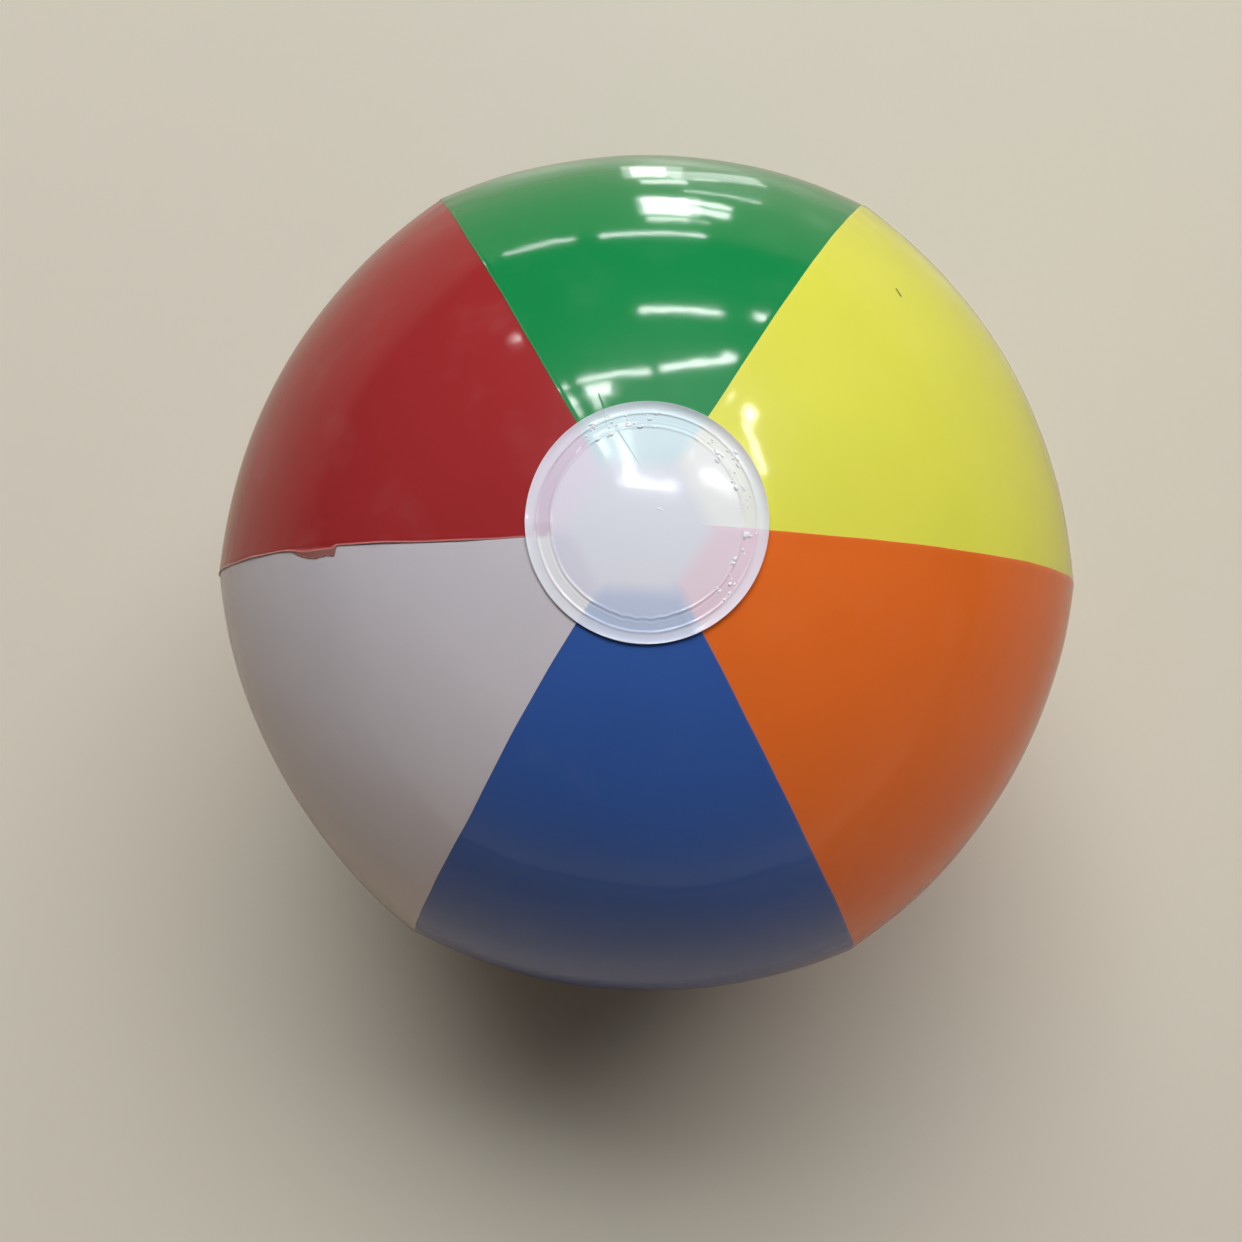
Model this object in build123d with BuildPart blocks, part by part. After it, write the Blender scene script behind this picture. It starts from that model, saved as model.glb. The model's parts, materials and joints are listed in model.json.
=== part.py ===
from build123d import *
import os
from math import asin, cos, degrees, hypot, radians, sin, sqrt

# An inflated beach ball: six film panels lap-welded edge over edge, a round disc over their tips
# at each pole, and a push-in valve low on the white panel. The ball stands on its lower disc.
# The origin is under the ball's centre, +Z runs through both discs, and +X through a seam.

# Panels, anticlockwise seen from above, starting at +X
PANEL_COLOURS = ("yellow", "green", "red", "white", "blue", "orange")
meridian_radius = 137.0  # ball's centre to the middle line of every panel
crown_offset = 28.0  # how far behind the ball's centre a panel's cross arc has its centre
film = 0.3
lap_width = 3.5  # how far a panel's edge reaches over its neighbour
bead_width = 1.0  # thickened strip beside the lap, on the panel's own side
weld_gap = 0.05  # between two films that are welded together
opening_apothem = 16.5  # pole to the straight-cut tip of each panel
trim = 1.5  # what a film has past a cut edge before it is cut
flats_along = 24  # a panel bends in flats from tip to tip, which keeps its mesh light
flats_across = 8  # and from seam to seam

# End discs
disc_radius = 30.0
disc_seat_gap = 0.05  # between a disc and the laps beneath it
patch_clearance = 0.5  # from the flat patch that the ball stands on to the panels' tips
upper_disc_shift = (1.9, 1.4)  # the upper disc's outline is welded on a little off the pole

# Valve, from its bore outwards: stem, strap, plug's head, skirt that turns inside out, flange
valve_colour = "white"
valve_angle = 45.0  # from the lower pole
bore_radius = 3.4
stem_wall = 1.6
strap_clearance = 0.6  # between the plug's strap and the stem
strap_width = 1.0
head_clearance = 1.1  # round the plug's head, in the skirt
skirt_wall = 0.7
skirt_clearance = 0.5  # round the skirt, in the panel's hole
weld_band = 5.0  # flange past the hole's edge, where it is welded on
flange_thickness = 0.8
stem_clearance = 0.2  # round the stem, in the skirt's floor
stem_travel = 16.0  # from pushed in to popped out
stem_tail = 1.7  # stem below the skirt's floor
mouth_depth = 1.2  # stem's mouth below the flange's underside
plug_fit = 0.06  # radial, of the plug in the bore
plug_lead = 0.6  # chamfer at the plug's inner end
plug_clearance = 1.5  # from the plug's inner end to the stem's
head_thickness = 1.6
head_chamfer = 0.4
head_gap = 0.1  # under the plug's head
strap_thickness = 1.2
strap_sweep = 140.0  # how far round the stem the strap runs
strap_root = 25.0  # how much of that reaches in to the stem
root_gap = 0.05  # between the strap's root and the stem
flap_lip = 0.8  # flap past the bore's edge
flap_thickness = 0.5
flap_tab = 0.4  # tab past the flap's rim, up to the hinge line
flap_tab_width = 4.0
flap_gap = 0.1  # between the flap and the stem's inner end

# Worked out from those
half_turn = 180 / len(PANEL_COLOURS)
crown_radius = meridian_radius + crown_offset
seam_swing = half_turn - degrees(asin(crown_offset * sin(radians(half_turn)) / crown_radius))
crown_swing = seam_swing + degrees(trim / crown_radius)
lap_top = weld_gap + film
first_tilt = degrees(asin((opening_apothem - trim) / meridian_radius))
tilt_step = (180 - 2 * first_tilt) / flats_along
patch_radius = opening_apothem - patch_clearance

os.makedirs("parts", exist_ok=True)


def outward(azimuth, tilt=90.0):
    """Unit vector at an azimuth, tilted away from the upper pole."""
    level = sin(radians(tilt))
    return Vector(level * cos(radians(azimuth)), level * sin(radians(azimuth)), cos(radians(tilt)))


def lap_height(distance):
    """Height over the ball's centre of the laps' highest line, at a distance from the pole."""
    across = distance * sin(radians(half_turn))
    level = distance * cos(radians(half_turn))
    seam_reach = sqrt(crown_radius**2 - across**2) - crown_offset
    return sqrt(seam_reach**2 - level**2) + lap_top


def disc_corners(reach):
    """Radius and height of a disc's underside at its middle, at its patch's rim and at its rim.

    From rim to rim it runs straight over the curved panels, so it is lifted by their bulge.
    """
    lift = disc_seat_gap + (reach - patch_radius) ** 2 / (8 * meridian_radius)
    patch_height = lap_height(patch_radius) + lift
    return [(0, patch_height), (patch_radius, patch_height), (reach, lap_height(reach) + lift)]


lowest = disc_corners(disc_radius)[0][1] + film
centre = Vector(0, 0, lowest)


# ---------------------------------------------------------------- panels


def seam_plane(azimuth, shift=0.0):
    """Upright plane through a seam, moved aside by shift. Its normal points anticlockwise."""
    normal = outward(azimuth + 90)
    return Plane(origin=normal * shift, x_dir=outward(azimuth), z_dir=normal)


def crown_points(over):
    """A panel's cross arc in flats, at a height over its surface."""
    swings = [crown_swing * (2 * k / flats_across - 1) for k in range(flats_across + 1)]
    radius = crown_radius + over
    return [
        (radius * sin(radians(swing)), radius * cos(radians(swing)) - crown_radius)
        for swing in swings
    ]


def crowned_wall(azimuth, inside, outside):
    """A wall that follows one panel from tip to tip, between two heights over its surface."""
    tilts = [radians(first_tilt + k * tilt_step) for k in range(flats_along + 1)]
    meridian_plane = Plane(origin=centre, x_dir=outward(azimuth), z_dir=outward(azimuth - 90))
    with BuildPart() as wall:
        with BuildLine(meridian_plane) as meridian:
            Polyline(*[(meridian_radius * sin(t), meridian_radius * cos(t)) for t in tilts])
        start = Plane(origin=meridian.line @ 0, x_dir=outward(azimuth + 90), z_dir=meridian.line % 0)
        with BuildSketch(start):
            with BuildLine():
                Polyline(*crown_points(inside), *reversed(crown_points(outside)), close=True)
            make_face()
        sweep(path=meridian.line, transition=Transition.RIGHT)
    return wall.part


# The pattern of every panel, its middle line at azimuth 0, with the lap on its left edge
sheet_wall = crowned_wall(0, -film, 0)
bead_wall = crowned_wall(0, -film, lap_top)
lap_wall = crowned_wall(2 * half_turn, weld_gap, lap_top)

with BuildPart() as sheet:
    add(sheet_wall)
    split(bisect_by=seam_plane(-half_turn), keep=Keep.TOP)
    split(bisect_by=seam_plane(half_turn, -bead_width), keep=Keep.BOTTOM)

with BuildPart() as bead:
    add(bead_wall)
    split(bisect_by=seam_plane(half_turn, -bead_width), keep=Keep.TOP)
    split(bisect_by=seam_plane(half_turn), keep=Keep.BOTTOM)

with BuildPart() as lap:
    add(lap_wall)
    split(bisect_by=seam_plane(half_turn), keep=Keep.TOP)
    split(bisect_by=seam_plane(half_turn, lap_width), keep=Keep.BOTTOM)

with BuildPart() as pattern:
    add(sheet.part)
    add(bead.part)
    add(lap.part)
    split(bisect_by=Plane(origin=(opening_apothem, 0, 0), z_dir=(1, 0, 0)), keep=Keep.TOP)

# Where the valve sits: its plane touches the panel's surface and faces out of the ball
valve_azimuth = half_turn + 2 * half_turn * PANEL_COLOURS.index(valve_colour)
valve_axis = outward(valve_azimuth, 180 - valve_angle)
valve_plane = Plane(
    origin=centre + valve_axis * meridian_radius,
    x_dir=outward(valve_azimuth + 90),
    z_dir=valve_axis,
)

# Its radii, from the bore outwards
stem_radius = bore_radius + stem_wall
strap_inside = stem_radius + strap_clearance
head_radius = strap_inside + strap_width
skirt_inside = head_radius + head_clearance
skirt_radius = skirt_inside + skirt_wall
hole_radius = skirt_radius + skirt_clearance
flange_radius = hole_radius + weld_band

for index, colour in enumerate(PANEL_COLOURS):
    with BuildPart() as panel:
        add(pattern.part, rotation=(0, 0, half_turn + 2 * half_turn * index))
        if colour == valve_colour:
            with Locations(valve_plane):
                Hole(hole_radius)
    panel.part.label = f"panel_{colour}"
    export_step(panel.part, f"parts/panel_{colour}.step")


# ---------------------------------------------------------------- end discs


def disc_film(reach):
    """The upper disc out to a radius: flat in the panels' opening, then down over their tips."""
    corners = disc_corners(reach)
    with BuildPart() as disc:
        with BuildSketch(Plane(origin=centre, x_dir=(1, 0, 0), z_dir=(0, -1, 0))):
            with BuildLine():
                under = Polyline(*corners)
                over = Polyline(*[(x, y + film) for x, y in corners])
                Line(under @ 0, over @ 0)
                Line(under @ 1, over @ 1)
            make_face()
        revolve(axis=Axis.Z)
    return disc.part


wide_film = disc_film(disc_radius + hypot(*upper_disc_shift) + trim)
round_film = disc_film(disc_radius)

with BuildPart() as upper_disc:
    add(wide_film)
    with BuildSketch(Plane.XY.offset(centre.Z)):
        with Locations(upper_disc_shift):
            Circle(disc_radius)
    extrude(amount=2 * meridian_radius, mode=Mode.INTERSECT)
upper_disc.part.label = "end_disc_top"
export_step(upper_disc.part, "parts/end_disc_top.step")

with BuildPart() as lower_disc:
    add(round_film)
    mirror(about=Plane.XY.offset(centre.Z), mode=Mode.REPLACE)
lower_disc.part.label = "end_disc_bottom"
export_step(lower_disc.part, "parts/end_disc_bottom.step")


# ---------------------------------------------------------------- valve, in its pushed-in state

# Heights along the valve's axis, counted outwards from the panel's surface
flange_seat = weld_gap - hole_radius**2 / (2 * crown_radius)
skirt_end = flange_seat - stem_travel / 2
stem_mouth = flange_seat - mouth_depth
stem_end = skirt_end - stem_tail
head_under = stem_mouth + head_gap
head_top = head_under + head_thickness
plug_end = stem_end + plug_clearance
flap_top = stem_end - flap_gap

floor_hole = stem_radius + stem_clearance
plug_radius = bore_radius - plug_fit
flap_radius = bore_radius + flap_lip
hinge_distance = flap_radius + flap_tab

valve_line = Axis(valve_plane.origin, valve_axis)
valve_section = Plane(origin=valve_plane.origin, x_dir=valve_plane.x_dir, z_dir=-valve_plane.y_dir)

with BuildPart() as flange:
    with BuildSketch(valve_plane.offset(flange_seat)):
        Circle(flange_radius)
        Circle(skirt_inside, mode=Mode.SUBTRACT)
    extrude(amount=flange_thickness)
flange.part.label = "valve_flange"
export_step(flange.part, "parts/valve_flange.step")

with BuildPart() as skirt:
    with BuildSketch(valve_section):
        with BuildLine():
            Polyline(
                (skirt_inside, flange_seat),
                (skirt_radius, flange_seat),
                (skirt_radius, skirt_end),
                (floor_hole, skirt_end),
                (floor_hole, skirt_end + skirt_wall),
                (skirt_inside, skirt_end + skirt_wall),
                close=True,
            )
        make_face()
    revolve(axis=valve_line)
skirt.part.label = "valve_skirt"
export_step(skirt.part, "parts/valve_skirt.step")

with BuildPart() as stem:
    with BuildSketch(valve_plane.offset(stem_end)):
        Circle(stem_radius)
        Circle(bore_radius, mode=Mode.SUBTRACT)
    extrude(amount=stem_mouth - stem_end)
stem.part.label = "valve_stem"
export_step(stem.part, "parts/valve_stem.step")

with BuildPart() as plug:
    with BuildSketch(valve_section):
        with BuildLine():
            Polyline(
                (0, plug_end),
                (plug_radius - plug_lead, plug_end),
                (plug_radius, plug_end + plug_lead),
                (plug_radius, head_under),
                (head_radius, head_under),
                (head_radius, head_top - head_chamfer),
                (head_radius - head_chamfer, head_top),
                (0, head_top),
                close=True,
            )
        make_face()
    revolve(axis=valve_line)
plug.part.label = "valve_plug"
export_step(plug.part, "parts/valve_plug.step")

with BuildPart() as strap:
    with BuildSketch(valve_plane.offset(stem_mouth)):
        with BuildLine():
            outside = CenterArc((0, 0), head_radius, 0, strap_sweep)
            inside = CenterArc((0, 0), strap_inside, strap_root, strap_sweep - strap_root)
            foot = CenterArc((0, 0), stem_radius + root_gap, 0, strap_root)
            Line(outside @ 0, foot @ 0)
            Line(foot @ 1, inside @ 0)
            Line(inside @ 1, outside @ 1)
        make_face()
    extrude(amount=-strap_thickness)
strap.part.label = "plug_strap"
export_step(strap.part, "parts/plug_strap.step")

with BuildPart() as flap:
    with BuildSketch(valve_plane.offset(flap_top)):
        Circle(flap_radius)
        with Locations((hinge_distance / 2, 0)):
            Rectangle(hinge_distance, flap_tab_width)
    extrude(amount=-flap_thickness)
flap.part.label = "check_flap"
export_step(flap.part, "parts/check_flap.step")
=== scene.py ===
import json
import logging
import math
from dataclasses import dataclass, field
from enum import Enum
from typing import Any, Callable, Dict, List, Optional, Sequence, Tuple, Union

import bmesh
import bpy
import numpy as np
from mathutils import Matrix, Vector


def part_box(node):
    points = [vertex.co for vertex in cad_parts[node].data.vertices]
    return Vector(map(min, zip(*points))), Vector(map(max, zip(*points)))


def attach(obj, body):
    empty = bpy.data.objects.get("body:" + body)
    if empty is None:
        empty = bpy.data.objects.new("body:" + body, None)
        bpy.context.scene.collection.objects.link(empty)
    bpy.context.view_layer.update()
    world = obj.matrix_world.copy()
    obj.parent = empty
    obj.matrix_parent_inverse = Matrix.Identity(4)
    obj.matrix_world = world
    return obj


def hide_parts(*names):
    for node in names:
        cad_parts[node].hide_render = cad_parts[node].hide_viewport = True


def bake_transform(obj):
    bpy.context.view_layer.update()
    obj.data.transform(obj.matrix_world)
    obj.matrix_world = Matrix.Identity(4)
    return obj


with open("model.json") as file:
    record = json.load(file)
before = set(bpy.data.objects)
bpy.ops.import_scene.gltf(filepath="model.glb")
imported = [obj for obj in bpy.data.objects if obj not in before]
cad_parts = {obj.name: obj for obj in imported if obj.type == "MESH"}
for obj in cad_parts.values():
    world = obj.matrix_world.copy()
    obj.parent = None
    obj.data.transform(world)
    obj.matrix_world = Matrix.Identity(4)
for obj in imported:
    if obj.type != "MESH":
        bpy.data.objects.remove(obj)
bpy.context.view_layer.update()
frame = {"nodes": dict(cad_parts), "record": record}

# An inflated beach ball of lap-welded vinyl panels with a milky disc over their tips at each pole.
# Everything is in metres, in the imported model's frame: +Z up, the ball's lowest point at z = 0.

Colour = Tuple[float, float, float]
MM = 0.001
FULL_TURN = 2 * math.pi
VINYL_IOR = 1.53
BLACK: Colour = (0.0, 0.0, 0.0)
WHITE: Colour = (1.0, 1.0, 1.0)

log = logging.getLogger("beach_ball")


# ------------------------------------------------------------------ node trees


def maths(operation: str, reflected: bool = False) -> Callable[..., "Value"]:
    """Makes a method that adds one Math node to the tree.

    Args:
        operation: What the node works out.
        reflected: Whether the other number comes before self.

    Returns:
        The method, which takes the node's other number if it has one.
    """

    def method(self: "Value", *others: "Number") -> "Value":
        """The node's result."""
        terms = (*others, self) if reflected else (self, *others)
        node = self.graph.node("ShaderNodeMath", {"operation": operation}, dict(enumerate(terms)))
        return Value(self.graph, node.outputs[0])

    return method


class Value:
    """A number in a node tree. Python's operators on it add Math nodes to that tree."""

    __add__, __radd__ = maths("ADD"), maths("ADD", reflected=True)
    __sub__, __rsub__ = maths("SUBTRACT"), maths("SUBTRACT", reflected=True)
    __mul__, __rmul__ = maths("MULTIPLY"), maths("MULTIPLY", reflected=True)
    __truediv__, __rtruediv__ = maths("DIVIDE"), maths("DIVIDE", reflected=True)
    # The power of a number at or above 0, and what is left past whole periods, never below 0
    __pow__, __mod__, __abs__ = maths("POWER"), maths("FLOORED_MODULO"), maths("ABSOLUTE")
    root, sine, cosine = maths("SQRT"), maths("SINE"), maths("COSINE")
    at_least, at_most, above = maths("MAXIMUM"), maths("MINIMUM"), maths("GREATER_THAN")
    exponential = maths("EXPONENT")
    # y.turn_of(x) is the turn in radians from the x axis to the point (x, y)
    turn_of = maths("ARCTAN2")

    def __init__(self, graph: "Graph", socket: bpy.types.NodeSocket) -> None:
        """Wraps one output socket.

        Args:
            graph: The tree that the socket belongs to.
            socket: A float output.
        """
        self.graph = graph
        self.socket = socket

    def bump(self, middle: "Number", width: float) -> "Value":
        """A bell curve of height 1 about a middle, down to a third at one width from it."""
        off = (self - middle) / width
        return (off * off * -1.0).exponential()

    def rise(self, low: float, high: float) -> "Value":
        """Goes smoothly from 0 at low to 1 at high."""
        node = self.graph.node(
            "ShaderNodeMapRange",
            {"interpolation_type": "SMOOTHSTEP"},
            {"Value": self, "From Min": low, "From Max": high, "To Min": 0.0, "To Max": 1.0},
        )
        return Value(self.graph, node.outputs[0])


Number = Union[float, Value]


class Graph:
    """A node tree that is built by code, for a material, a world or a modifier."""

    def __init__(self, tree: bpy.types.NodeTree) -> None:
        """Wraps a tree.

        Args:
            tree: An empty tree, or one whose nodes may stay.
        """
        self.tree = tree

    def node(
        self,
        kind: str,
        settings: Optional[Dict[str, Any]] = None,
        inputs: Optional[Dict[Union[str, int], Any]] = None,
    ) -> bpy.types.Node:
        """Adds a node.

        Args:
            kind: The node's type.
            settings: Its own settings, which are set first. "stops" is a ramp's (place, colour)s.
            inputs: What goes into its sockets, by name or place: a number, a colour, a Value, or
                another node's output.

        Returns:
            The new node.
        """
        made = self.tree.nodes.new(kind)
        for name, setting in (settings or {}).items():
            if name == "stops":
                self._set_stops(made.color_ramp, setting)
            else:
                setattr(made, name, setting)
        for key, given in (inputs or {}).items():
            socket = made.inputs[key]
            source = given.socket if isinstance(given, Value) else given
            if isinstance(source, bpy.types.NodeSocket):
                self.tree.links.new(source, socket)
            else:
                socket.default_value = source
        return made

    def _set_stops(self, ramp: bpy.types.ColorRamp, stops: Sequence[Tuple[float, Colour]]) -> None:
        """Gives a colour ramp its stops."""
        while len(ramp.elements) < len(stops):
            ramp.elements.new(1.0)
        for element, (place, _) in zip(ramp.elements, stops):
            element.position = place
        for element, (_, colour) in zip(ramp.elements, stops):
            element.color = opaque(colour)

    def value(self, socket: bpy.types.NodeSocket) -> Value:
        """A float output as a Value."""
        return Value(self, socket)

    def attribute(self, label: str) -> Value:
        """A number that the mesh carries at its points."""
        found = self.node("ShaderNodeAttribute", {"attribute_name": label})
        return Value(self, found.outputs["Fac"])

    def mix(self, share: Number, first: Any, second: Any) -> bpy.types.NodeSocket:
        """Mixes two colours.

        Args:
            share: 0 gives the first colour and 1 the second.
            first: A colour with alpha, or a colour output.
            second: The same.

        Returns:
            The mixed colour's output.
        """
        inputs = {0: share, 6: first, 7: second}
        return self.node("ShaderNodeMix", {"data_type": "RGBA"}, inputs).outputs[2]

    def axes(self, place: Any) -> Tuple[Value, ...]:
        """The x, y and z of a position."""
        parts = self.node("ShaderNodeSeparateXYZ", {}, {0: place}).outputs
        return tuple(self.value(part) for part in parts)

    def measure(self, operation: str, first: Any, second: Any) -> Value:
        """A number that says how two vectors lie, such as their distance."""
        found = self.node("ShaderNodeVectorMath", {"operation": operation}, {0: first, 1: second})
        return self.value(found.outputs["Value"])

    def vector(self, x: Number = 0.0, y: Number = 0.0, z: Number = 0.0) -> bpy.types.NodeSocket:
        """The position or size with the given x, y and z."""
        return self.node("ShaderNodeCombineXYZ", {}, {0: x, 1: y, 2: z}).outputs[0]

    def noise(self, place: Any, size: float, detail: float = 2.0, rough: float = 0.5) -> Value:
        """Soft random blotches between 0 and 1.

        Args:
            place: The position output that they are laid out on.
            size: About how far it is from one blotch to the next, in metres.
            detail: How many finer layers are added.
            rough: How strong those are.

        Returns:
            The blotches.
        """
        inputs = {"Vector": place, "Scale": 1.0 / size, "Detail": detail, "Roughness": rough}
        return self.value(self.node("ShaderNodeTexNoise", {}, inputs).outputs[0])


def opaque(colour: Colour) -> Tuple[float, float, float, float]:
    """A colour with full alpha, as node sockets take it."""
    return (*colour, 1.0)


def blended(first: Colour, second: Colour, share: float) -> Colour:
    """The colour a share of the way from the first to the second."""
    return tuple(a + (b - a) * share for a, b in zip(first, second))


def length(x: Value, y: Value) -> Value:
    """The distance of (x, y) from the origin."""
    return (x * x + y * y).root()


def past_middle(x: Value, y: Value, first_seam: float, panels: int) -> Value:
    """How far a point has turned past the middle line of the panel that it is over.

    Args:
        x: The point's place from the ball's axis.
        y: The same.
        first_seam: Azimuth of the first seam. The others are taken as evenly spaced.
        panels: How many panels go round the ball.

    Returns:
        The turn in radians, below 0 before the middle line.
    """
    sector = FULL_TURN / panels
    return ((y.turn_of(x) - first_seam) % sector) - sector / 2


# ------------------------------------------------------------------ finishes


class Surface:
    """A new material with one main shader, laid out over a piece by its Object coordinates."""

    def __init__(self, name: str, alpha: float = 1.0, ior: float = VINYL_IOR) -> None:
        """Starts the material.

        Args:
            name: The material's name.
            alpha: How opaque it is.
            ior: Its index of refraction.
        """
        self.made = bpy.data.materials.new(name)
        self.made.use_nodes = True
        self.graph = Graph(self.made.node_tree)
        self.shader = self.made.node_tree.nodes["Principled BSDF"]
        self.shader.inputs["Alpha"].default_value = alpha
        self.shader.inputs["IOR"].default_value = ior
        self.place = self.graph.node("ShaderNodeTexCoord").outputs["Object"]

    def finish(
        self, colour: Any, roughness: Value, height: Value, strength: float, depth: float
    ) -> bpy.types.Material:
        """Gives the shader what varies over the surface.

        Args:
            colour: The base colour's output.
            roughness: The roughness.
            height: The fine relief.
            strength: How strongly the relief shows.
            depth: What a height of 1 comes to.

        Returns:
            The finished material.
        """
        inputs = {"Strength": strength, "Distance": depth, "Height": height}
        relief = self.graph.node("ShaderNodeBump", {}, inputs)
        links = self.graph.tree.links
        links.new(colour, self.shader.inputs["Base Color"])
        links.new(roughness.socket, self.shader.inputs["Roughness"])
        links.new(relief.outputs[0], self.shader.inputs["Normal"])
        return self.made


class Vinyl(Enum):
    """The six panel colours, anticlockwise from +X, each with its pigment."""

    YELLOW = (0.84, 0.835, 0.100)
    GREEN = (0.010, 0.278, 0.076)
    RED = (0.405, 0.031, 0.034)
    WHITE = (0.69, 0.655, 0.71)
    BLUE = (0.040, 0.116, 0.425)
    ORANGE = (0.90, 0.177, 0.026)

    @property
    def node(self) -> str:
        """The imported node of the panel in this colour."""
        return f"panel_{self.name.lower()}"

    @property
    def slot(self) -> str:
        """The record's material slot of this colour."""
        return f"vinyl_{self.name.lower()}"


@dataclass(frozen=True)
class Mark:
    """A short straight mark in a film: a scratch, or a crease where the film was folded.

    Its place and direction are in the horizontal plane. On a crease its colour is painted light:
    darker for painted shade, paler for a painted highlight.
    """

    place: Tuple[float, float]
    heading: float
    length: float
    width: float
    colour: Optional[Colour] = None
    rise: float = 0.0

    def mask(self, x: Value, y: Value) -> Value:
        """1 on the mark and 0 beside it."""
        dx, dy = x - self.place[0], y - self.place[1]
        cosine, sine = math.cos(self.heading), math.sin(self.heading)
        along = dx * cosine + dy * sine
        aside = dy * cosine - dx * sine
        half = self.length / 2
        return aside.bump(0.0, self.width) * (1 - abs(along).rise(half * 0.6, half))


@dataclass(frozen=True)
class FilmFinish:
    """Glossy opaque vinyl film with faint mottling, orange peel and handling marks."""

    vinyl: Vinyl
    scuffs: float = 0.12
    marks: Tuple[Mark, ...] = ()
    roughness: float = 0.075
    # The lap's cut edge is painted paler: a painted highlight where the curled edge catches the
    # light, over the cut edge's own paler colour
    cut_edge_highlight: float = 0.12
    cut_edge_highlight_tint: Colour = (0.95, 0.62, 0.58)
    # The spare flash film is painted brown: the thin red film over white, darkened with painted
    # shade
    shaded_flash: Colour = (0.40, 0.16, 0.14)
    chalk: Colour = (0.80, 0.78, 0.75)
    mottle_size: float = 26 * MM
    scuff_size: float = 24 * MM
    peel_size: float = 5.5 * MM
    grain_size: float = 0.7 * MM

    def material(self) -> bpy.types.Material:
        """Builds the film's material."""
        surface = Surface(f"{self.vinyl.slot}_film")
        graph, place = surface.graph, surface.place
        x, y, z = graph.axes(place)
        pigment = self.vinyl.value
        mottle = graph.noise(place, self.mottle_size, 3.0)
        rubbed = graph.noise(place, self.scuff_size, 3.0, 0.6).rise(0.52, 0.78) * self.scuffs
        colour = graph.mix(mottle, opaque(blended(pigment, BLACK, 0.08)), opaque(pigment))
        colour = graph.mix(rubbed, colour, opaque(blended(pigment, self.chalk, 0.12)))
        # Painted highlight along the lap's cut edge, over the cut edge's own paler colour
        edge_highlight = (1 - graph.attribute("from_edge").rise(0.1, 0.55)) * self.cut_edge_highlight
        colour = graph.mix(edge_highlight, colour, opaque(blended(pigment, self.cut_edge_highlight_tint, 0.42)))
        # Painted shade on the spare flash film, over the thin film's own colour
        colour = graph.mix(graph.attribute("shaded_flash"), colour, opaque(self.shaded_flash))
        peel = graph.noise(place, self.peel_size, 1.0)
        height = peel * 2.2 + graph.noise(place, self.grain_size) * 0.12
        for mark in self.marks:
            on_it = mark.mask(x, y) * z.above(0.1)
            height = height + on_it * mark.rise
            if mark.colour:
                colour = graph.mix(on_it, colour, opaque(mark.colour))
        gloss = self.roughness + 0.03 * mottle + 0.12 * rubbed
        return surface.finish(colour, gloss, height, 0.5, 0.02 * MM)


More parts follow.
